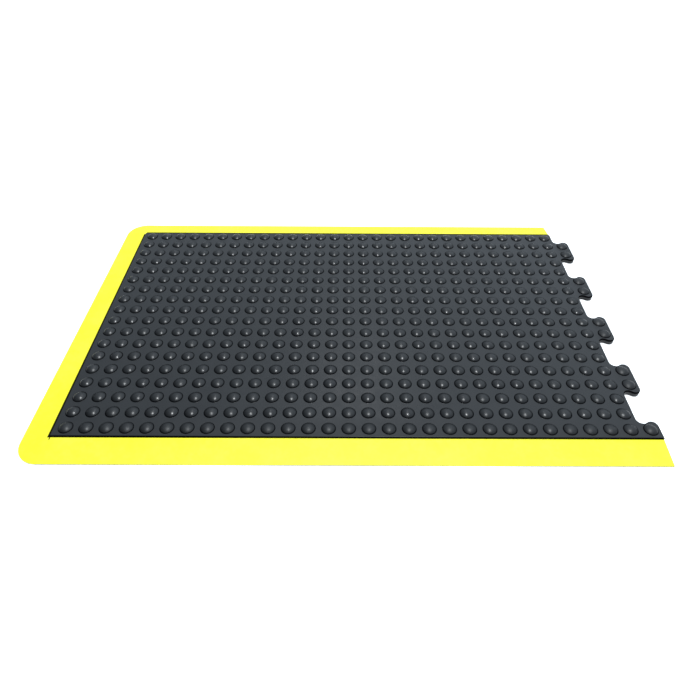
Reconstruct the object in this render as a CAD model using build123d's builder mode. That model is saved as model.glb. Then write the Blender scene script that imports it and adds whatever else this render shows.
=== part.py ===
from build123d import *

import os
from math import sqrt

# Anti fatigue mat, end section of an interlocking run. A black rubber sheet with hollow bubbles has
# yellow rubber ramps on three sides, and a row of dovetail tabs on the fourth.
#
# Frame: +X along the length, from the ramp end to the tab end. +Y is the depth. +Z is up from the
# floor. The origin is the middle of the bounding box, on the floor. Millimetres.

# ---- driving dimensions ----

pitch = 28.5  # bubble to bubble, both ways, and the module of the interlock
columns = 29  # bubbles along X, not counting the extra one on each tab
rows = 18  # bubbles along Y
sheet_height = 9.5  # top of the sheet between the bubbles

bubble_rise = 5.0  # top of a bubble above the sheet
bubble_radius = 10.5  # where a bubble meets the sheet
bubble_root = 1.0  # how far a bubble's solid sinks into the sheet, where it joins it
bubble_wall = 3.5  # rubber left over the air cup under a bubble

tab_rows = 2  # a full tab is this many rows wide, and so is the pocket beside it
tab_depth = 28.25  # foot to end, a little under one pitch so that two sections close up
tab_clearance = 0.4  # each flank stands back this far from the line between tab and pocket
flank_radius = 8.6  # both arcs of a tab's S-shaped flank
left_margin = 18.0  # first column of bubbles to the left edge of the sheet
foot_margin = 14.75  # last full column of bubbles to the foot of the tabs
top_round = 1.6  # rounding along the sheet's upper edge, which clears the bubbles beside a tab's neck

ramp_width = 41.0  # outer edge of the mat to the sheet
ramp_height = 6.5  # of the ramp where it meets the sheet
ramp_lip = 1.5  # upright outer edge of the ramp
ramp_corner = 35.0  # rounding of the mat's two outer corners, seen from above

tongue_reach = 12.0  # the sheet's tongue under the ramps
tongue_height = 2.5

# ---- derived dimensions ----

margin = pitch / 2
sheet_depth = rows * pitch
mat_depth = sheet_depth + 2 * ramp_width
mat_length = ramp_width + left_margin + (columns - 1) * pitch + foot_margin + tab_depth

x_left = -mat_length / 2
x_sheet = x_left + ramp_width  # the sheet's left edge
x_first = x_sheet + left_margin  # the first column of bubbles
x_foot = x_first + (columns - 1) * pitch + foot_margin  # foot of the tabs
x_end = x_foot + tab_depth  # end of the tabs
y_front = -sheet_depth / 2
y_rear = sheet_depth / 2

bubble_sphere = (bubble_radius**2 + bubble_rise**2) / (2 * bubble_rise)
bubble_centre_z = sheet_height + bubble_rise - bubble_sphere
cup_sphere = bubble_sphere - bubble_wall

# The two arcs of a flank meet in a tangent at half the tab's depth, so their centres are two radii
# apart. The swing is how far each arc passes the flank's middle line.
flank_swing = flank_radius - sqrt(flank_radius**2 - (tab_depth / 2 - flank_radius) ** 2)
ramp_slope = (ramp_height - ramp_lip) / ramp_width


def has_tab(row):
    """Whether the tab column has a bubble in this row. Rows count from 0 at the front."""
    return (row + tab_rows // 2) % (2 * tab_rows) < tab_rows


def flank(y, side):
    """One S-shaped flank of a tab beside the line at y, from the foot outwards, with the tab on
    the side of smaller y for side 1 and of larger y for side -1."""
    y -= side * tab_clearance
    foot = (x_foot, y + side * (flank_radius - flank_swing))
    neck = (x_foot + flank_radius, y - side * flank_swing)
    middle = (x_foot + tab_depth / 2, y)
    head = (x_end - flank_radius, y + side * flank_swing)
    corner = (x_end, y - side * (flank_radius - flank_swing))
    return foot, neck, middle, head, corner


def sheet_outline():
    """The sheet's outline, drawn from the front left corner anticlockwise."""
    start = (x_end, y_front)
    Line((x_sheet, y_front), start)
    for row in range(1, rows):
        if has_tab(row) == has_tab(row - 1):
            continue
        y = y_front + row * pitch
        if has_tab(row):
            foot, neck, middle, head, corner = flank(y, -1)
            Line(start, foot)
            ThreePointArc(foot, neck, middle)
            ThreePointArc(middle, head, corner)
            start = corner
        else:
            foot, neck, middle, head, corner = flank(y, 1)
            Line(start, corner)
            ThreePointArc(corner, head, middle)
            ThreePointArc(middle, neck, foot)
            start = foot
    Polyline(start, (x_foot, y_rear), (x_sheet, y_rear), (x_sheet, y_front))


def bubble_places():
    """The middle of every bubble, on the floor."""
    places = []
    for row in range(rows):
        count = columns + 1 if has_tab(row) else columns
        y = y_front + margin + row * pitch
        places += [(x_first + column * pitch, y) for column in range(count)]
    return places


def ramp_line(outer, inner):
    """Section of a ramp from its outer edge to its inner one, in the sketch's own X and Y."""
    Polyline(
        (outer, 0),
        (outer, ramp_lip),
        (inner, ramp_height),
        (inner, 0),
        close=True,
    )


# ---- one bubble: a cap of a sphere on a short root that sinks into the sheet ----

with BuildPart() as bubble:
    with Locations((0, 0, bubble_centre_z)):
        Sphere(bubble_sphere)
    with Locations((0, 0, sheet_height - bubble_root)):
        Cylinder(
            bubble_radius,
            bubble_rise + bubble_root,
            align=(Align.CENTER, Align.CENTER, Align.MIN),
            mode=Mode.INTERSECT,
        )

# ---- the black sheet ----

with BuildPart() as core_mat:
    with BuildSketch():
        with BuildLine():
            sheet_outline()
        make_face()
    extrude(amount=sheet_height)
    fillet(core_mat.faces().sort_by(Axis.Z)[-1].outer_wire().edges(), radius=top_round)

    # The tongue stands out under the ramps on three sides, and stops where each ramp stops.
    with BuildSketch():
        with BuildLine():
            Polyline(
                (x_sheet - tongue_reach, y_front - tongue_reach),
                (x_end, y_front - tongue_reach),
                (x_end, y_front),
                (x_sheet, y_front),
                (x_sheet, y_rear),
                (x_foot, y_rear),
                (x_foot, y_rear + tongue_reach),
                (x_sheet - tongue_reach, y_rear + tongue_reach),
                close=True,
            )
        make_face()
    extrude(amount=tongue_height)

    with Locations(bubble_places()):
        add(bubble.part)
    with Locations([(x, y, bubble_centre_z) for x, y in bubble_places()]):
        Sphere(cup_sphere, mode=Mode.SUBTRACT)

# ---- the yellow ramps ----

# The slope over an outer corner is a cone. This quarter ring stands on that cone, so that taking it
# away leaves the slope.
with BuildPart() as above_corner:
    with BuildSketch(Plane.XZ):
        with BuildLine():
            Polyline(
                (0, ramp_lip + ramp_slope * ramp_corner),
                (ramp_corner + 1, ramp_lip - ramp_slope),
                (ramp_corner + 1, ramp_height),
                (0, ramp_height),
                close=True,
            )
        make_face()
    revolve(axis=Axis.Z, revolution_arc=90)

with BuildPart() as left_edging:
    with BuildSketch(Plane.XZ):
        with BuildLine():
            ramp_line(x_left, x_sheet)
        make_face()
    extrude(amount=mat_depth / 2, both=True)

    # The front and rear slopes run on over the two corners.
    with BuildSketch(Plane.YZ.offset(x_left)):
        with BuildLine():
            Polyline(
                (-mat_depth / 2, 0),
                (-mat_depth / 2, ramp_lip),
                (y_front, ramp_height),
                (y_rear, ramp_height),
                (mat_depth / 2, ramp_lip),
                (mat_depth / 2, 0),
                close=True,
            )
        make_face()
    extrude(amount=ramp_width, mode=Mode.INTERSECT)
    corners = left_edging.edges().filter_by(Axis.Z).group_by(Axis.X)[0]
    fillet(corners, radius=ramp_corner)
    corner_x = x_left + ramp_corner
    corner_y = mat_depth / 2 - ramp_corner
    for y, turn in ((-corner_y, 180), (corner_y, 90)):
        with Locations(Location((corner_x, y, 0), (0, 0, turn))):
            add(above_corner.part, mode=Mode.SUBTRACT)

    # Rebate over the sheet's tongue.
    with Locations((x_sheet, 0, 0)):
        Box(
            tongue_reach,
            sheet_depth + 2 * tongue_reach,
            tongue_height,
            align=(Align.MAX, Align.CENTER, Align.MIN),
            mode=Mode.SUBTRACT,
        )

with BuildPart() as front_edging:
    with BuildSketch(Plane.YZ.offset(x_sheet)):
        with BuildLine():
            ramp_line(y_front - ramp_width, y_front)
        make_face()
    extrude(amount=x_end - x_sheet)
    with Locations((x_sheet, y_front, 0)):
        Box(
            x_end - x_sheet,
            tongue_reach,
            tongue_height,
            align=(Align.MIN, Align.MAX, Align.MIN),
            mode=Mode.SUBTRACT,
        )

with BuildPart() as rear_edging:
    with BuildSketch(Plane.YZ.offset(x_sheet)):
        with BuildLine():
            ramp_line(y_rear + ramp_width, y_rear)
        make_face()
    extrude(amount=x_foot - x_sheet)
    with Locations((x_sheet, y_rear, 0)):
        Box(
            x_foot - x_sheet,
            tongue_reach,
            tongue_height,
            align=(Align.MIN, Align.MIN, Align.MIN),
            mode=Mode.SUBTRACT,
        )

# ---- one STEP file for each piece ----

os.makedirs("parts", exist_ok=True)

core_mat.part.label = "core_mat"
export_step(core_mat.part, "parts/core_mat.step")

left_edging.part.label = "left_edging"
export_step(left_edging.part, "parts/left_edging.step")

front_edging.part.label = "front_edging"
export_step(front_edging.part, "parts/front_edging.step")

rear_edging.part.label = "rear_edging"
export_step(rear_edging.part, "parts/rear_edging.step")
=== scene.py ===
"""Looks of an anti fatigue mat: a black rubber bubble sheet with yellow rubber ramps on three sides.

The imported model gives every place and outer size. The sheet and the three ramps are built here again as
closed meshes with rounded edges, moulded feet round the bubbles and air cups under them.
"""

import logging
import math
from collections.abc import Iterable, Sequence
from dataclasses import dataclass, field
from enum import Enum

import bpy
from mathutils import Euler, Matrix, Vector
from mathutils.geometry import delaunay_2d_cdt

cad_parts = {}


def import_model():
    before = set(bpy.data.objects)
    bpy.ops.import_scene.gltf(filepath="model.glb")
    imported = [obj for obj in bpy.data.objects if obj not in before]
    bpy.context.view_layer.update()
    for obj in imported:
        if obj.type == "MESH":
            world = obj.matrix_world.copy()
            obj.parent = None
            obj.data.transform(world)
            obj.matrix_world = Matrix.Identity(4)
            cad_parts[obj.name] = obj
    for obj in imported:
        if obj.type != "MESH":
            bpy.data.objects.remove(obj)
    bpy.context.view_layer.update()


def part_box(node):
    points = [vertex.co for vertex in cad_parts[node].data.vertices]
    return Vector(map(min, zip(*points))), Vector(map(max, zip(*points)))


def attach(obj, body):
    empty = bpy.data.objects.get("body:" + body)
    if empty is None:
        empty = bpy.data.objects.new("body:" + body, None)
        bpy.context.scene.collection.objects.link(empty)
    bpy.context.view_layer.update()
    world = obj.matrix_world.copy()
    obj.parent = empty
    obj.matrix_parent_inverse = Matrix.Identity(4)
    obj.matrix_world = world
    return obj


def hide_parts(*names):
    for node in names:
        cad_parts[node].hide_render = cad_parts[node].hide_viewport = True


log = logging.getLogger("mat")

Point = tuple[float, float]
MM = 0.001
PITCH = 28.5 * MM  # bubble to bubble, both ways
BUBBLE_RISE = 5.0 * MM  # top of a bubble above the sheet


# ---- shader maths ----


class Signal:
    """A number that varies over a surface. Calculating with it adds Math nodes to the material."""

    def __init__(self, paint: "Paint", socket: bpy.types.NodeSocket) -> None:
        """Wrap an output socket.

        Args:
            paint: the material or world in the making.
            socket: the output.
        """
        self.paint = paint
        self.socket = socket

    def math(self, operation: str, other: "Signal | float" = 0.0) -> "Signal":
        """Add a Math node.

        Args:
            operation: the Math node's operation.
            other: its second input, where it takes one.

        Returns:
            The result.
        """
        return self.paint.signal("ShaderNodeMath", {"operation": operation}, {0: self, 1: other}, "Value")

    def __add__(self, other: "Signal | float") -> "Signal":
        """Add."""
        return self.math("ADD", other)

    def __sub__(self, other: "Signal | float") -> "Signal":
        """Subtract."""
        return self.math("SUBTRACT", other)

    def __rsub__(self, other: float) -> "Signal":
        """Subtract from a number."""
        return (self * -1.0).math("ADD", other)

    def __mul__(self, other: "Signal | float") -> "Signal":
        """Multiply."""
        return self.math("MULTIPLY", other)

    __radd__ = __add__
    __rmul__ = __mul__

    def between(self, low: float, high: float) -> "Signal":
        """Stretch a span over 0 to 1, with soft ends, and clamp the rest.

        Args:
            low: what becomes 0.
            high: what becomes 1.

        Returns:
            The result.
        """
        settings = {"interpolation_type": "SMOOTHSTEP"}
        values = {"Value": self, "From Min": low, "From Max": high}
        return self.paint.signal("ShaderNodeMapRange", settings, values, "Result")


class Paint:
    """The nodes of a material or of the world."""

    first_colour = 6  # the Mix node's sockets for colours, which share their names with other kinds'
    second_colour = 7
    mixed_colour = 2

    def __init__(self, owner: bpy.types.Material | bpy.types.World) -> None:
        """Give the owner nodes and find its shader.

        Args:
            owner: the material or the world.
        """
        owner.use_nodes = True
        self.owner = owner
        self.tree = owner.node_tree
        kinds = ("BSDF_PRINCIPLED", "BACKGROUND")
        self.shader = next(node for node in self.tree.nodes if node.type in kinds)

    @classmethod
    def of_material(cls, name: str) -> "Paint":
        """Start a new material."""
        return cls(bpy.data.materials.new(name))

    def feed(self, node: bpy.types.Node, values: dict) -> None:
        """Give a node's sockets their values or links.

        Args:
            node: the node.
            values: a value, a socket or a signal for each input, by its name or number.
        """
        for key, value in values.items():
            socket = node.inputs[key]
            if isinstance(value, Signal):
                value = value.socket
            if isinstance(value, bpy.types.NodeSocket):
                self.tree.links.new(value, socket)
            else:
                socket.default_value = value

    def node(self, kind: str, settings: dict, values: dict) -> bpy.types.Node:
        """Add a node.

        Args:
            kind: the node's type.
            settings: its properties, which are set first.
            values: its sockets' values or links.

        Returns:
            The node.
        """
        node = self.tree.nodes.new(kind)
        for key, value in settings.items():
            setattr(node, key, value)
        self.feed(node, values)
        return node

    def signal(self, kind: str, settings: dict, values: dict, output: str) -> Signal:
        """Add a node and wrap the output of the given name."""
        return Signal(self, self.node(kind, settings, values).outputs[output])

    def places(self) -> bpy.types.NodeSocket:
        """The object's own coordinates, in metres."""
        return self.node("ShaderNodeTexCoord", {}, {}).outputs["Object"]

    def noise(self, size: float, detail: float = 2.0, roughness: float = 0.5) -> Signal:
        """Add noise in three dimensions.

        Args:
            size: about how large its blotches are, in metres.
            detail: how many finer layers it has.
            roughness: how strong the finer layers are.

        Returns:
            The noise, about 0.5 on average.
        """
        values = {"Vector": self.places(), "Scale": 1 / size, "Detail": detail, "Roughness": roughness}
        return self.signal("ShaderNodeTexNoise", {}, values, "Fac")

    def mix(self, factor: Signal, first: object, second: object) -> bpy.types.NodeSocket:
        """Mix two colours.

        Args:
            factor: 0 for the first and 1 for the second.
            first: a colour, or a socket that gives one.
            second: the same.

        Returns:
            The mixed colour.
        """
        values = {"Factor": factor, self.first_colour: first, self.second_colour: second}
        return self.node("ShaderNodeMix", {"data_type": "RGBA"}, values).outputs[self.mixed_colour]

    def axes(self, vector: bpy.types.NodeSocket) -> tuple[Signal, ...]:
        """Split a vector into its X, Y and Z."""
        parts = self.node("ShaderNodeSeparateXYZ", {}, {"Vector": vector}).outputs
        return tuple(Signal(self, parts[axis]) for axis in "XYZ")

    def matte(self, mask: Signal, colour: Sequence[float]) -> None:
        """Cover the material with a colour without gloss.

        Args:
            mask: 1 where the cover shows.
            colour: the cover's colour.
        """
        values = {"Base Color": colour, "Roughness": 1.0, "Specular IOR Level": 0.0}
        cover = self.node("ShaderNodeBsdfPrincipled", {}, values)
        output = next(node for node in self.tree.nodes if node.type == "OUTPUT_MATERIAL")
        shaders = {0: mask, 1: self.shader.outputs[0], 2: cover.outputs[0]}
        self.feed(output, {"Surface": self.node("ShaderNodeMixShader", {}, shaders).outputs[0]})

    def bump(
        self, height: Signal, depth: float, under: bpy.types.NodeSocket | None = None
    ) -> bpy.types.NodeSocket:
        """Make a Normal from a height.

        Args:
            height: a signal between 0 and 1.
            depth: what 1 stands for, in metres.
            under: another Normal, to which this one is added.

        Returns:
            The Normal.
        """
        values = {"Height": height, "Distance": depth, "Strength": 1.0}
        if under is not None:
            values["Normal"] = under
        return self.node("ShaderNodeBump", {}, values).outputs["Normal"]


@dataclass(frozen=True)
class BlackRubber:
    """The sheet's moulded nitrile rubber: a fine grain, a faint grey bloom and tops that feet polish,
    with painted shade on its walls above the ramps and on the bubbles' feet.
    """

    layout: "Layout"
    colour: tuple[float, ...] = (0.002, 0.0023, 0.003, 1.0)
    bloom: tuple[float, ...] = (0.004, 0.0048, 0.0056, 1.0)
    patches: tuple[float, float] = (0.7, 0.5)  # how far flow and smudges make up the bloom
    patch_edge: tuple[float, float] = (0.4, 0.8)
    roughness: float = 0.30
    ior: float = 1.45
    grain_size: float = 0.7 * MM
    grain_depth: float = 0.012 * MM
    wave_size: float = 9.0 * MM
    wave_depth: float = 0.10 * MM
    flow_size: float = 60.0 * MM
    smudge_size: float = 14.0 * MM
    uneven: tuple[float, float] = (0.35, 0.2)  # how far smudges and flow change the roughness
    foot_height: float = 1.8 * MM
    wear_width: float = 42.0 * MM
    wear: float = 0.14
    wall_slope: tuple[float, float] = (0.80, 0.99)  # the normal's Z, from a wall to a level face
    # painted shade: how far the steep walls above the ramps and the bubbles' feet lose their gloss, so
    # they read black like shade
    painted_wall_shade: float = 0.95

    def material(self) -> bpy.types.Material:
        """Make the material.

        Returns:
            The material.
        """
        paint = Paint.of_material("black_rubber")
        at, top = self.layout, self.layout.total_height - BUBBLE_RISE
        flow = paint.noise(self.flow_size, 3.0)
        grain = paint.noise(self.grain_size, 2.0)
        smudge = paint.noise(self.smudge_size, 3.0, 0.6)
        wave = paint.noise(self.wave_size, 1.0)
        x, y, z = paint.axes(paint.places())
        worn_front = 1.0 - y.between(at.y_front + 0.4 * self.wear_width, at.y_front + self.wear_width)
        worn_end = x.between(at.x_end - self.wear_width, at.x_end - 0.4 * self.wear_width)
        worn = worn_front.math("MAXIMUM", worn_end)
        patches = flow * self.patches[0] + smudge * self.patches[1]
        colour = paint.mix(patches.between(*self.patch_edge), self.colour, self.bloom)
        smudge_part, flow_part = self.uneven
        roughness = self.roughness + (smudge - 0.5) * smudge_part + (flow - 0.5) * flow_part
        roughness = roughness + worn * self.wear
        normal = paint.bump(grain, self.grain_depth, paint.bump(wave, self.wave_depth))
        values = {"Base Color": colour, "Roughness": roughness, "IOR": self.ior, "Normal": normal}
        paint.feed(paint.shader, values)
        # Painted shade: the steep sheet walls above the ramps and the low steep part of the bubbles' feet
        # lose their gloss, so they read black like shade.
        facing = paint.node("ShaderNodeNewGeometry", {}, {}).outputs["Normal"]
        level = paint.axes(facing)[2].between(*self.wall_slope)
        raised = z.between(top + 0.3 * self.foot_height, top + self.foot_height)
        exposed = z.between(0.8 * at.ramp_height, at.ramp_height)
        paint.matte((1.0 - level) * (1.0 - raised) * exposed * self.painted_wall_shade, self.colour)
        return paint.owner


@dataclass(frozen=True)
class YellowRubber:
    """The ramps' yellow rubber: smooth, with a faint uneven tint and scuffs on the slope, and painted
    shade along its foot and beside the sheet's left and rear joints.
    """

    layout: "Layout"
    colour: tuple[float, ...] = (0.93, 0.88, 0.008, 1.0)
    worn: tuple[float, ...] = (0.88, 0.80, 0.03, 1.0)
    # painted shade: darker yellow along the ramp's foot, where it meets the floor
    painted_contact_shade: tuple[float, ...] = (0.16, 0.14, 0.02, 1.0)
    contact_shade_height: float = 1.4 * MM
    # painted shade beside the left and rear joints; the same colour makes a short dark line where the
    # front joint starts
    seam_shade: tuple[float, ...] = (0.010, 0.0088, 0.003, 1.0)
    left_shade_width: float = 4.8 * MM
    rear_shade_width: float = 8.8 * MM
    start_width: float = 1.3 * MM
    start_reach: float = 7.0 * MM
    seam_end: float = 1.0 * MM  # over which a seam fades out at its ends
    patches: tuple[float, float] = (0.6, 0.6)  # how far flow and smudges make up the worn tint
    patch_edge: tuple[float, float] = (0.45, 0.85)
    roughness: float = 0.42
    uneven: float = 0.16  # how far smudges change the roughness
    ior: float = 1.5
    grain_size: float = 0.9 * MM
    grain_depth: float = 0.010 * MM
    flow_size: float = 45.0 * MM
    smudge_size: float = 8.0 * MM

    def material(self) -> bpy.types.Material:
        """Make the material.

        Returns:
            The material.
        """
        paint = Paint.of_material("yellow_rubber")
        flow = paint.noise(self.flow_size, 3.0)
        grain = paint.noise(self.grain_size, 2.0)
        smudge = paint.noise(self.smudge_size, 4.0, 0.65)
        x, y, z = paint.axes(paint.places())
        # Painted shade: the colour darkens towards the floor along the ramp's foot.
        above_contact_shade = z.between(0.5 * self.contact_shade_height, self.contact_shade_height)
        patches = flow * self.patches[0] + smudge * self.patches[1]
        colour = paint.mix(patches.between(*self.patch_edge), self.colour, self.worn)
        values = {
            "Base Color": paint.mix(above_contact_shade, self.painted_contact_shade, colour),
            "Roughness": self.roughness + (smudge - 0.5) * self.uneven,
            "IOR": self.ior,
            "Normal": paint.bump(grain, self.grain_depth),
        }
        paint.feed(paint.shader, values)
        # Painted shade: a dark matte band beside the left and rear joints, plus a short dark line at the
        # start of the front joint.
        paint.matte(self.seam_shade_mask(x, y), self.seam_shade)
        return paint.owner

    def seam_shade_mask(self, x: Signal, y: Signal) -> Signal:
        """Mark the painted shade beside the sheet's left and rear joints, and a short dark line where the
        front joint starts.

        Args:
            x: the place along the mat.
            y: the place across it.

        Returns:
            1 along the left and rear joints and on the short line where the front one starts.
        """
        at, end = self.layout, self.seam_end
        left, rear, front = at.x_sheet - x, y - at.y_rear, at.y_front - y
        shade_beside_left = 1.0 - left.between(0.7 * self.left_shade_width, self.left_shade_width)
        shade_beside_left = shade_beside_left * (1.0 - rear.between(0.0, end)) * (1.0 - front.between(0.0, end))
        shade_beside_rear = 1.0 - rear.between(0.8 * self.rear_shade_width, self.rear_shade_width)
        shade_beside_rear = shade_beside_rear * rear.between(-2 * end, -end) * (1.0 - left.between(0.0, end))
        start = 1.0 - left.math("ABSOLUTE").between(0.3 * self.start_width, self.start_width)
        start = start * (1.0 - front.between(0.3 * self.start_reach, self.start_reach))
        start = start * front.between(-2 * end, -end)
        return shade_beside_left.math("MAXIMUM", shade_beside_rear).math("MAXIMUM", start)


# ---- meshes ----


@dataclass(frozen=True)
class Corner:
    """One corner of a face: a vertex and the surface's own normal there."""

    vertex: int
    normal: tuple[float, float, float]


class Skin:
    """A mesh in the making, whose faces know the true normals of the surface they stand for."""

    grid = 1e-6
    grid_start = 0.237  # keeps round measures away from the grid's lines

    def __init__(self) -> None:
        """Start with nothing."""
        self.vertices: list[tuple[float, float, float]] = []
        self.known: dict[tuple[int, ...], int] = {}
        self.faces: list[list[Corner]] = []

    def corner(self, place: tuple[float, float, float], normal: Sequence[float]) -> Corner:
        """Add a vertex, or find the one that is there already, and pair it with a normal.

        Args:
            place: the vertex's place.
            normal: the surface's direction there, of any length.

        Returns:
            The corner.
        """
        key = tuple(math.floor(value / self.grid + self.grid_start) for value in place)
        if key not in self.known:
            self.known[key] = len(self.vertices)
            self.vertices.append(place)
        length = math.sqrt(sum(value * value for value in normal))
        return Corner(self.known[key], tuple(value / length for value in normal))

    def face(self, corners: Iterable[Corner]) -> None:
        """Add a face, leaving out corners that fall together.

        Args:
            corners: its corners, anticlockwise from outside.
        """
        distinct: list[Corner] = []
        for corner in corners:
            if corner.vertex not in [other.vertex for other in distinct]:
                distinct.append(corner)
        if len(distinct) > 2:
            self.faces.append(distinct)

    def bridge(self, lower: Sequence[Corner], upper: Sequence[Corner], closed: bool = True) -> None:
        """Join two rings of equal length by a band of faces.

        Args:
            lower: the ring that has the band on its left, seen from outside the skin.
            upper: the other ring.
            closed: whether the last corner is joined to the first.
        """
        count = len(lower)
        for index in range(count if closed else count - 1):
            after = (index + 1) % count
            self.face((lower[index], lower[after], upper[after], upper[index]))

    def fan(self, ring: Sequence[Corner], apex: Corner) -> None:
        """Close a ring with triangles to one point.

        Args:
            ring: the ring's corners.
            apex: the point.
        """
        for index, corner in enumerate(ring):
            self.face((corner, ring[(index + 1) % len(ring)], apex))

    def flat(self, outer: Sequence[Corner], holes: Sequence[Sequence[Corner]], up: bool) -> None:
        """Fill the level area inside one ring and outside others.

        Args:
            outer: the outer ring, anticlockwise from above.
            holes: the rings left open, anticlockwise from above.
            up: whether the area faces up or down.
        """
        loops = [outer, *holes]
        corners = [corner for loop in loops for corner in loop]
        loop_faces: list[list[int]] = []
        start = 0
        for loop in loops:
            loop_faces.append(list(range(start, start + len(loop))))
            start += len(loop)
        points = [Vector(self.vertices[corner.vertex][:2]) for corner in corners]
        result = delaunay_2d_cdt(points, [], loop_faces, 0, 1e-7, True)
        triangles, sources, owners = result[2], result[3], result[5]
        normal = (0.0, 0.0, 1.0 if up else -1.0)
        for triangle, owner in zip(triangles, owners):
            if owner != [0]:
                continue
            order = triangle if up else reversed(triangle)
            self.face(Corner(corners[sources[index][0]].vertex, normal) for index in order)

    def build(self, name: str, material: bpy.types.Material) -> bpy.types.Object:
        """Make the Blender object.

        Args:
            name: the object's name.
            material: its only material.

        Returns:
            The object, in the scene.
        """
        mesh = bpy.data.meshes.new(name)
        mesh.from_pydata(self.vertices, [], [[corner.vertex for corner in face] for face in self.faces])
        mesh.shade_smooth()
        normals = [corner.normal for face in self.faces for corner in face]
        mesh.normals_split_custom_set(normals)
        mesh.materials.append(material)
        piece = bpy.data.objects.new(name, mesh)
        bpy.context.scene.collection.objects.link(piece)
        triangles = sum(len(face) - 2 for face in self.faces)
        log.info("%s: %d vertices, %d triangles", name, len(self.vertices), triangles)
        return piece


@dataclass(frozen=True)
class Turn:
    """A point of a section, with the normals of the stretches before and after it."""

    across: float
    height: float
    before: Point
    after: Point

    def softened(self, depth: float) -> "Turn":
        """Move the point into the material.

        Args:
            depth: how far both stretches beside it move.

        Returns:
            The moved point.
        """
        spread = 1 + self.before[0] * self.after[0] + self.before[1] * self.after[1]
        across = self.across - depth * (self.before[0] + self.after[0]) / spread
        height = self.height - depth * (self.before[1] + self.after[1]) / spread
        return Turn(across, height, self.before, self.after)


@dataclass(frozen=True)
class Section:
    """A polygon, clockwise in (across, height), some of whose corners are rounded."""

    corners: Sequence[tuple[float, float, float]]
    steps: int = 4

    def turns(self, closed: bool) -> list[Turn]:
        """Work out the section's points.

        Args:
            closed: whether the last corner is joined to the first. An open section keeps its two end
                corners as plain points.

        Returns:
            The points in order.
        """
        count = len(self.corners)
        points: list[Turn] = []
        for index, (across, height, radius) in enumerate(self.corners):
            before = self.normal(index - 1) if closed or index else None
            after = self.normal(index) if closed or index < count - 1 else None
            before, after = before or after, after or before
            if radius == 0 or before == after:
                points.append(Turn(across, height, before, after))
                continue
            half = 1 + before[0] * after[0] + before[1] * after[1]
            centre = (
                across - radius * (before[0] + after[0]) / half,
                height - radius * (before[1] + after[1]) / half,
            )
            start = math.atan2(before[1], before[0])
            turn = math.atan2(after[1], after[0]) - start
            turn = (turn + math.pi) % math.tau - math.pi
            for step in range(self.steps + 1):
                angle = start + turn * step / self.steps
                normal = (math.cos(angle), math.sin(angle))
                place = (centre[0] + radius * normal[0], centre[1] + radius * normal[1])
                points.append(Turn(*place, normal, normal))
        return points

    def normal(self, index: int) -> Point:
        """Find the outward normal of a stretch.

        Args:
            index: the corner where the stretch starts.

        Returns:
            The normal, of length 1.
        """
        start = self.corners[index % len(self.corners)]
        end = self.corners[(index + 1) % len(self.corners)]
        along = (end[0] - start[0], end[1] - start[1])
        length = math.hypot(*along)
        return (-along[1] / length, along[0] / length)


# ---- the mat ----


@dataclass(frozen=True)
class Layout:
    """Places along the mat, in metres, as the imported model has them."""

    x_left: float
    x_sheet: float
    x_foot: float
    x_end: float
    y_front: float
    y_rear: float
    ramp_height: float
    total_height: float

    @classmethod
    def of_frame(cls) -> "Layout":
        """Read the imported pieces' boxes.

        Returns:
            The layout.
        """
        left_low, left_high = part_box("left_edging")
        front_low, front_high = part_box("front_edging")
        rear_low, rear_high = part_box("rear_edging")
        core_low, core_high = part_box("core_mat")
        return cls(
            x_left=left_low.x,
            x_sheet=left_high.x,
            x_foot=rear_high.x,
            x_end=core_high.x,
            y_front=front_high.y,
            y_rear=rear_low.y,
            ramp_height=left_high.z,
            total_height=core_high.z,
        )


@dataclass(frozen=True)
class EdgePoint:
    """A point of the sheet's outline, seen from above."""

    place: Point
    inward: Point
    tongue: Point = (0.0, 0.0)

    def at(self, across: float, tongue_reach: float) -> Point:
        """Move the point across the edge.

        Args:
            across: how far, inwards if it is negative and out along the tongue if it is positive.
            tongue_reach: how far out the tongue ends.

        Returns:
            Where the point lies then.
        """
        if across <= 0:
            move, amount = self.inward, -across
        else:
            move, amount = self.tongue, across / tongue_reach
        return (self.place[0] + move[0] * amount, self.place[1] + move[1] * amount)


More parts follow.
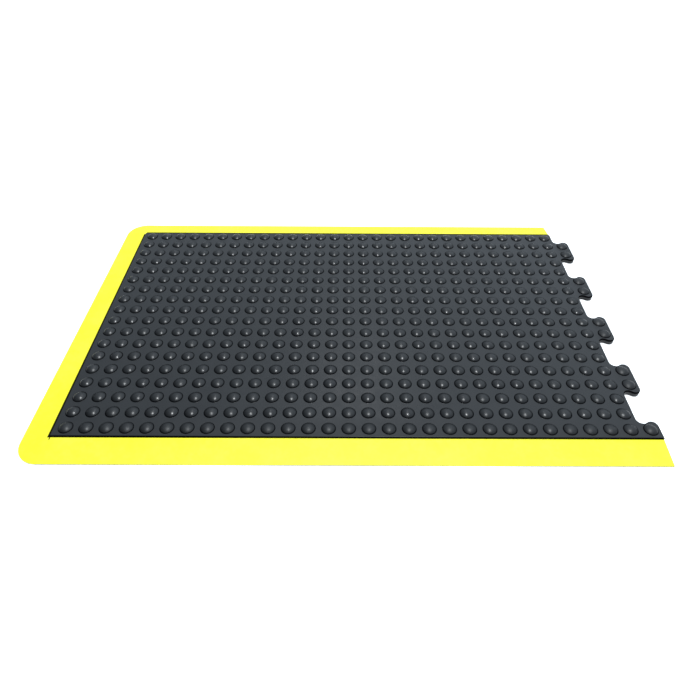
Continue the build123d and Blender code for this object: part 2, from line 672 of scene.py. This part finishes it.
@dataclass
class Interlock:
    """The dovetail tabs along the right side, which the next section of the run closes with."""

    layout: Layout
    rows: int
    tab_rows: int = 2
    clearance: float = 0.4 * MM
    flank_radius: float = 8.6 * MM
    arc_steps: int = 10

    def has_tab(self, row: int) -> bool:
        """Whether a row, counted from 0 at the front, runs on into a tab."""
        return (row + self.tab_rows // 2) % (2 * self.tab_rows) < self.tab_rows

    def flank(self, y: float, side: int) -> list[EdgePoint]:
        """One S-shaped flank, from foot to end.

        Args:
            y: the line between the tab and the pocket.
            side: 1 for a tab on the side of smaller y, or -1 on the side of larger y.

        Returns:
            The flank's outline points.
        """
        radius = self.flank_radius
        depth = self.layout.x_end - self.layout.x_foot
        y -= side * self.clearance
        lean = math.acos((depth / 2 - radius) / radius)
        rise = radius * math.sin(lean)
        points: list[EdgePoint] = []
        for step in range(self.arc_steps + 1):
            angle = math.pi + (lean - math.pi) * step / self.arc_steps
            away = (math.cos(angle), -side * math.sin(angle))
            centre = (self.layout.x_foot + radius, y + side * rise)
            points.append(EdgePoint((centre[0] + radius * away[0], centre[1] + radius * away[1]), away))
        for step in range(1, self.arc_steps + 1):
            angle = (math.pi - lean) * (1 - step / self.arc_steps)
            away = (math.cos(angle), side * math.sin(angle))
            centre = (self.layout.x_end - radius, y - side * rise)
            place = (centre[0] + radius * away[0], centre[1] + radius * away[1])
            points.append(EdgePoint(place, (-away[0], -away[1])))
        return points

    def points(self) -> list[EdgePoint]:
        """Work out the tab edge.

        Returns:
            Its points from front to rear, without its two end corners.
        """
        points: list[EdgePoint] = []
        for row in range(1, self.rows):
            if self.has_tab(row) == self.has_tab(row - 1):
                continue
            y = self.layout.y_front + row * PITCH
            if self.has_tab(row):
                points += self.flank(y, -1)
            else:
                points += reversed(self.flank(y, 1))
        return points


@dataclass
class BubbleSheet:
    """The black moulded sheet: bubbles on top, air cups below, and a tongue hidden under the ramps."""

    layout: Layout
    finish: BlackRubber
    columns: int
    rows: int
    left_margin: float = 18.0 * MM
    bubble_radius: float = 10.5 * MM
    bubble_wall: float = 3.5 * MM
    foot_fillet: float = 0.6 * MM
    foot_steps: int = 2
    cap_steps: int = 4
    bubble_sides: int = 24
    cup_steps: int = 3
    cup_sides: int = 12
    top_round: float = 1.5 * MM
    under_round: float = 0.4 * MM
    tongue_height: float = 2.5 * MM
    tongue_reach: float = 12.0 * MM
    skin: Skin = field(default_factory=Skin)

    def __post_init__(self) -> None:
        """Work out the bubble's sphere."""
        self.sheet_top = self.layout.total_height - BUBBLE_RISE
        self.sphere = (self.bubble_radius**2 + BUBBLE_RISE**2) / (2 * BUBBLE_RISE)
        self.centre_z = self.layout.total_height - self.sphere
        self.interlock = Interlock(self.layout, self.rows)

    def outline(self) -> list[EdgePoint]:
        """Work out the sheet's outline.

        Returns:
            Its points, anticlockwise, with the free corners doubled where the tongue stops.
        """
        at, reach = self.layout, self.tongue_reach
        return [
            EdgePoint((at.x_sheet, at.y_front), (1.0, 1.0), (-reach, -reach)),
            EdgePoint((at.x_end, at.y_front), (-1.0, 1.0), (0.0, -reach)),
            EdgePoint((at.x_end, at.y_front), (-1.0, 1.0)),
            *self.interlock.points(),
            EdgePoint((at.x_foot, at.y_rear), (-1.0, -1.0)),
            EdgePoint((at.x_foot, at.y_rear), (-1.0, -1.0), (0.0, reach)),
            EdgePoint((at.x_sheet, at.y_rear), (1.0, -1.0), (-reach, reach)),
        ]

    def bubble_places(self) -> list[Point]:
        """Work out where the bubbles stand.

        Returns:
            The middle of every bubble, seen from above.
        """
        x_first = self.layout.x_sheet + self.left_margin
        y_first = self.layout.y_front + PITCH / 2
        return [
            (x_first + column * PITCH, y_first + row * PITCH)
            for row in range(self.rows)
            for column in range(self.columns + self.interlock.has_tab(row))
        ]

    def ring(self, centre: Point, radius: float, z: float, rise: float, sides: int) -> list[Corner]:
        """A level circle of corners, anticlockwise from above.

        Args:
            centre: its middle, seen from above.
            radius: its radius.
            z: its height.
            rise: the angle of the surface's normal above the horizontal.
            sides: how many corners it has.

        Returns:
            The corners.
        """
        corners = []
        for side in range(sides):
            angle = math.tau * side / sides
            away = (math.cos(angle), math.sin(angle))
            place = (centre[0] + radius * away[0], centre[1] + radius * away[1], z)
            normal = (math.cos(rise) * away[0], math.cos(rise) * away[1], math.sin(rise))
            corners.append(self.skin.corner(place, normal))
        return corners

    def bubble(self, centre: Point) -> list[Corner]:
        """Build one bubble.

        Args:
            centre: its middle, seen from above.

        Returns:
            The circle where its foot runs into the sheet.
        """
        fillet, sphere = self.foot_fillet, self.sphere
        level = self.sheet_top + fillet - self.centre_z
        foot_radius = math.sqrt((sphere + fillet) ** 2 - level**2)
        slope = math.acos(level / (sphere + fillet))
        rings = []
        for step in range(self.foot_steps):
            lean = slope * step / self.foot_steps
            radius = foot_radius - fillet * math.sin(lean)
            z = self.sheet_top + fillet * (1 - math.cos(lean))
            rings.append(self.ring(centre, radius, z, math.pi / 2 - lean, self.bubble_sides))
        for step in range(self.cap_steps):
            lean = slope * (1 - step / self.cap_steps)
            radius = sphere * math.sin(lean)
            z = self.centre_z + sphere * math.cos(lean)
            rings.append(self.ring(centre, radius, z, math.pi / 2 - lean, self.bubble_sides))
        for lower, upper in zip(rings, rings[1:]):
            self.skin.bridge(lower, upper)
        apex = self.skin.corner((*centre, self.layout.total_height), (0, 0, 1))
        self.skin.fan(rings[-1], apex)
        return rings[0]

    def cup(self, centre: Point) -> list[Corner]:
        """Build the air cup under one bubble.

        Args:
            centre: its middle, seen from above.

        Returns:
            The circle of its mouth.
        """
        sphere = self.sphere - self.bubble_wall
        mouth = math.acos(-self.centre_z / sphere)
        rings = []
        for step in range(self.cup_steps):
            lean = mouth * (1 - step / self.cup_steps)
            radius = sphere * math.sin(lean)
            z = self.centre_z + sphere * math.cos(lean) if step else 0.0
            ring = self.ring(centre, radius, z, math.pi / 2 - lean, self.cup_sides)
            rings.append([Corner(c.vertex, tuple(-value for value in c.normal)) for c in ring])
        for lower, upper in zip(rings, rings[1:]):
            self.skin.bridge(upper, lower)
        apex = self.skin.corner((*centre, self.centre_z + sphere), (0, 0, -1))
        self.skin.fan(rings[-1][::-1], apex)
        return rings[0]

    def edge(self) -> tuple[list[Corner], list[Corner]]:
        """Build the wall all round.

        Returns:
            The wall's top and bottom rings.
        """
        reach, tongue, top = self.tongue_reach, self.tongue_height, self.sheet_top
        section = Section(
            (
                (-self.top_round * 2, top, 0),
                (0.0, top, self.top_round),
                (0.0, tongue, 0),
                (reach, tongue, 0),
                (reach, 0.0, self.under_round),
                (0.0, 0.0, 0),
            )
        )
        turns = section.turns(closed=False)[1:-1]
        outline = self.outline()

        def ring(turn: Turn, normal: Point) -> list[Corner]:
            """Lay one point of the section all round.

            Args:
                turn: the point.
                normal: the wall's normal there, in (across, height).

            Returns:
                A corner for each point of the outline.
            """
            corners = []
            for point in outline:
                size = math.hypot(*point.inward)
                out = (-point.inward[0] / size * normal[0], -point.inward[1] / size * normal[0])
                place = point.at(turn.across, reach)
                corners.append(self.skin.corner((*place, turn.height), (*out, normal[1])))
            return corners

        for upper, lower in zip(turns, turns[1:]):
            self.skin.bridge(ring(lower, lower.before), ring(upper, upper.after))
        return ring(turns[0], (0.0, 1.0)), ring(turns[-1], (0.0, -1.0))

    def build(self) -> bpy.types.Object:
        """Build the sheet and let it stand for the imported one.

        Returns:
            The sheet's object.
        """
        top, bottom = self.edge()
        places = self.bubble_places()
        self.skin.flat(top, [self.bubble(place) for place in places], up=True)
        self.skin.flat(bottom, [self.cup(place) for place in places], up=False)
        piece = self.skin.build("bubble_sheet", self.finish.material())
        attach(piece, "root")
        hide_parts("core_mat")
        return piece


@dataclass(frozen=True)
class Station:
    """A place along a ramp's outer edge, with the direction that its section runs in."""

    outer: Point
    inward: Point
    corner: bool = False


class Side(Enum):
    """The sides of the mat that have a ramp."""

    LEFT = "left"
    FRONT = "front"
    REAR = "rear"


@dataclass
class Ramp:
    """A yellow ramp: a wedge with a rounded lip and crest, rebated over the sheet's tongue."""

    side: Side
    layout: Layout
    material: bpy.types.Material
    lip: float = 1.5 * MM
    corner_radius: float = 35.0 * MM
    corner_steps: int = 16
    tongue_height: float = 2.5 * MM
    tongue_reach: float = 12.0 * MM
    lip_round: float = 0.6 * MM
    under_round: float = 0.3 * MM
    crest_round: float = 0.25 * MM
    end_soft: float = 0.25 * MM
    skin: Skin = field(default_factory=Skin)

    def __post_init__(self) -> None:
        """Work out the ramp's width."""
        self.width = self.layout.x_sheet - self.layout.x_left

    def section(self) -> list[Turn]:
        """Work out the ramp's section.

        Returns:
            Its points, with across measured inwards from the outer edge.
        """
        width, tongue = self.width, self.tongue_height
        corners = (
            (0.0, 0.0, self.under_round),
            (0.0, self.lip, self.lip_round),
            (width, self.layout.ramp_height, self.crest_round),
            (width, tongue, 0),
            (width - self.tongue_reach, tongue, 0),
            (width - self.tongue_reach, 0.0, 0),
        )
        return Section(corners).turns(closed=True)

    def stations(self) -> list[Station]:
        """Work out where sections stand along the outer edge.

        Returns:
            The places, clockwise round the mat seen from above.
        """
        at = self.layout
        outer_front, outer_rear = at.y_front - self.width, at.y_rear + self.width
        if self.side is Side.FRONT:
            return [Station((x, outer_front), (0.0, 1.0)) for x in (at.x_end, at.x_sheet)]
        if self.side is Side.REAR:
            return [Station((x, outer_rear), (0.0, -1.0)) for x in (at.x_sheet, at.x_foot)]
        radius = self.corner_radius
        stations = [Station((at.x_sheet, outer_front), (0.0, 1.0))]
        for y, turn in ((outer_front + radius, math.pi * 1.5), (outer_rear - radius, math.pi)):
            centre = (at.x_left + radius, y)
            for step in range(self.corner_steps + 1):
                angle = turn - math.pi / 2 * step / self.corner_steps
                away = (math.cos(angle), math.sin(angle))
                outer = (centre[0] + radius * away[0], centre[1] + radius * away[1])
                stations.append(Station(outer, (-away[0], -away[1]), corner=True))
        stations.append(Station((at.x_sheet, outer_rear), (0.0, -1.0)))
        return stations

    def place(self, station: Station, across: float) -> Point:
        """Place a point of the section. Past a rounded corner's centre it runs on to the sheet.

        Args:
            station: where the section stands.
            across: how far inwards the point lies.

        Returns:
            The point, seen from above.
        """
        straight = min(across, self.corner_radius) if station.corner else across
        x = station.outer[0] + station.inward[0] * straight
        y = station.outer[1] + station.inward[1] * straight
        if across > straight:
            x += across - straight
            y += (across - straight) * (1 if y < 0 else -1)
        return (x, y)

    def ring(self, station: Station, turns: Sequence[Turn], after: bool, shift: float) -> list[Corner]:
        """Make one section's corners.

        Args:
            station: where the section stands.
            turns: its points.
            after: whether the normals are those after the points, or before them.
            shift: how far the section is moved along the ramp.

        Returns:
            The corners.
        """
        corners = []
        for turn in turns:
            x, y = self.place(station, turn.across)
            x -= station.inward[1] * shift
            y += station.inward[0] * shift
            across, up = turn.after if after else turn.before
            normal = (station.inward[0] * across, station.inward[1] * across, up)
            corners.append(self.skin.corner((x, y, turn.height), normal))
        return corners

    def build(self) -> bpy.types.Object:
        """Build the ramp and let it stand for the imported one.

        Returns:
            The ramp's object.
        """
        turns = self.section()
        soft = [turn.softened(self.end_soft) for turn in turns]
        stations = self.stations()
        first, last = stations[0], stations[-1]
        rows = [(first, soft, 0.0), (first, turns, self.end_soft)]
        rows += [(station, turns, 0.0) for station in stations[1:-1]]
        rows += [(last, turns, -self.end_soft), (last, soft, 0.0)]
        count = len(turns)
        for (near, near_turns, near_shift), (far, far_turns, far_shift) in zip(rows, rows[1:]):
            near_out = self.ring(near, near_turns, True, near_shift)
            near_in = self.ring(near, near_turns, False, near_shift)
            far_out = self.ring(far, far_turns, True, far_shift)
            far_in = self.ring(far, far_turns, False, far_shift)
            for index in range(count):
                after = (index + 1) % count
                self.skin.face((near_out[index], near_in[after], far_in[after], far_out[index]))
        for station, sign in ((first, 1), (last, -1)):
            normal = (station.inward[1] * sign, -station.inward[0] * sign, 0.0)
            ring = [Corner(c.vertex, normal) for c in self.ring(station, soft, True, 0.0)]
            self.skin.face(ring[::-sign])
        piece = self.skin.build(f"{self.side.value}_ramp", self.material)
        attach(piece, "root")
        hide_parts(f"{self.side.value}_edging")
        return piece


# ---- the studio ----


@dataclass(frozen=True)
class Lamp:
    """A soft panel light that shines at a point."""

    name: str
    place: tuple[float, float, float]
    aim: tuple[float, float, float]
    size: Point
    power: float
    colour: tuple[float, float, float] = (1.0, 1.0, 1.0)

    def build(self) -> None:
        """Hang the light."""
        light = bpy.data.lights.new(self.name, "AREA")
        light.shape = "RECTANGLE"
        light.size, light.size_y = self.size
        light.energy = self.power
        light.color = self.colour
        holder = bpy.data.objects.new(self.name, light)
        holder.location = self.place
        beam = Vector(self.aim) - Vector(self.place)
        holder.rotation_euler = beam.to_track_quat("-Z", "Y").to_euler()
        holder.visible_camera = False
        bpy.context.scene.collection.objects.link(holder)


@dataclass
class Studio:
    """A plain white floor, soft lights and the camera."""

    floor_size: float = 24.0
    floor_colour: tuple[float, ...] = (0.9, 0.9, 0.9, 1.0)
    floor_glow: float = 0.35
    backdrop_colour: tuple[float, ...] = (1.0, 1.0, 1.0, 1.0)
    backdrop: float = 1.1
    room_tint: tuple[float, ...] = (0.86, 0.98, 1.10, 1.0)
    room_dim: float = 0.03
    room_bright: float = 1.28
    room_fall: tuple[float, float, float] = (0.45, 0.62, 0.7)  # towards the left, the front and down
    camera_place: tuple[float, float, float] = (0.0037, -0.7195, 0.6362)
    camera_turn: tuple[float, float, float] = (45.607, -0.323, 0.035)
    lens: float = 28.547
    lamps: Sequence[Lamp] = (
        Lamp("key", (0.15, -0.58, 3.0), (0.05, 0.0, 0.0), (0.35, 0.75), 56.0, (0.94, 0.98, 1.0)),
        Lamp("strip", (0.08, 0.55, 3.1), (0.08, 0.55, 0.0), (0.45, 5.1), 13.0),
    )

    def floor(self) -> None:
        """Lay the floor just under the mat."""
        half = self.floor_size / 2
        corners = [(-half, -half, 0.0), (half, -half, 0.0), (half, half, 0.0), (-half, half, 0.0)]
        mesh = bpy.data.meshes.new("floor")
        mesh.from_pydata(corners, [], [(0, 1, 2, 3)])
        paint = Paint.of_material("floor_white")
        glow = {"Emission Color": self.floor_colour, "Emission Strength": self.floor_glow}
        paint.feed(paint.shader, {"Base Color": self.floor_colour, "Roughness": 0.9, **glow})
        mesh.materials.append(paint.owner)
        floor = bpy.data.objects.new("floor", mesh)
        floor.location.z = -0.2 * MM
        bpy.context.scene.collection.objects.link(floor)

    def world(self) -> None:
        """Light the room softly from above and behind, with a plain white backdrop to look at."""
        world = bpy.data.worlds.new("room")
        paint = Paint(world)
        direction = paint.node("ShaderNodeTexCoord", {}, {}).outputs["Generated"]
        right, rear, up = paint.axes(direction)
        right_power, rear_power, up_power = self.room_fall
        across = (right + 1.0).math("POWER", right_power) * (rear + 1.0).math("POWER", rear_power)
        height = up.math("MAXIMUM", 0.0).math("POWER", up_power)
        strength = self.room_bright * across * height + self.room_dim
        seen = paint.signal("ShaderNodeLightPath", {}, {}, "Is Camera Ray")
        strength = strength * (1.0 - seen) + seen * self.backdrop
        colour = paint.mix(seen, self.room_tint, self.backdrop_colour)
        paint.feed(paint.shader, {"Color": colour, "Strength": strength})
        bpy.context.scene.world = world

    def camera(self) -> None:
        """Stand the camera in front of the mat, looking down on it."""
        camera = bpy.data.cameras.new("camera")
        camera.lens = self.lens
        holder = bpy.data.objects.new("camera", camera)
        holder.location = self.camera_place
        holder.rotation_euler = Euler([math.radians(angle) for angle in self.camera_turn])
        bpy.context.scene.collection.objects.link(holder)
        bpy.context.scene.camera = holder

    def build(self) -> None:
        """Set the whole studio up."""
        self.floor()
        self.world()
        self.camera()
        for lamp in self.lamps:
            lamp.build()
        bpy.context.scene.view_settings.view_transform = "Standard"


def main() -> None:
    """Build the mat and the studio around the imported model."""
    logging.basicConfig(level=logging.INFO, format="%(message)s")
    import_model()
    layout = Layout.of_frame()
    rows = round((layout.y_rear - layout.y_front) / PITCH)
    columns = round((layout.x_foot - layout.x_sheet) / PITCH)
    BubbleSheet(layout, BlackRubber(layout), columns, rows).build()
    yellow = YellowRubber(layout).material()
    for side in Side:
        Ramp(side, layout, yellow).build()
    Studio().build()


if __name__ == "__main__":
    main()
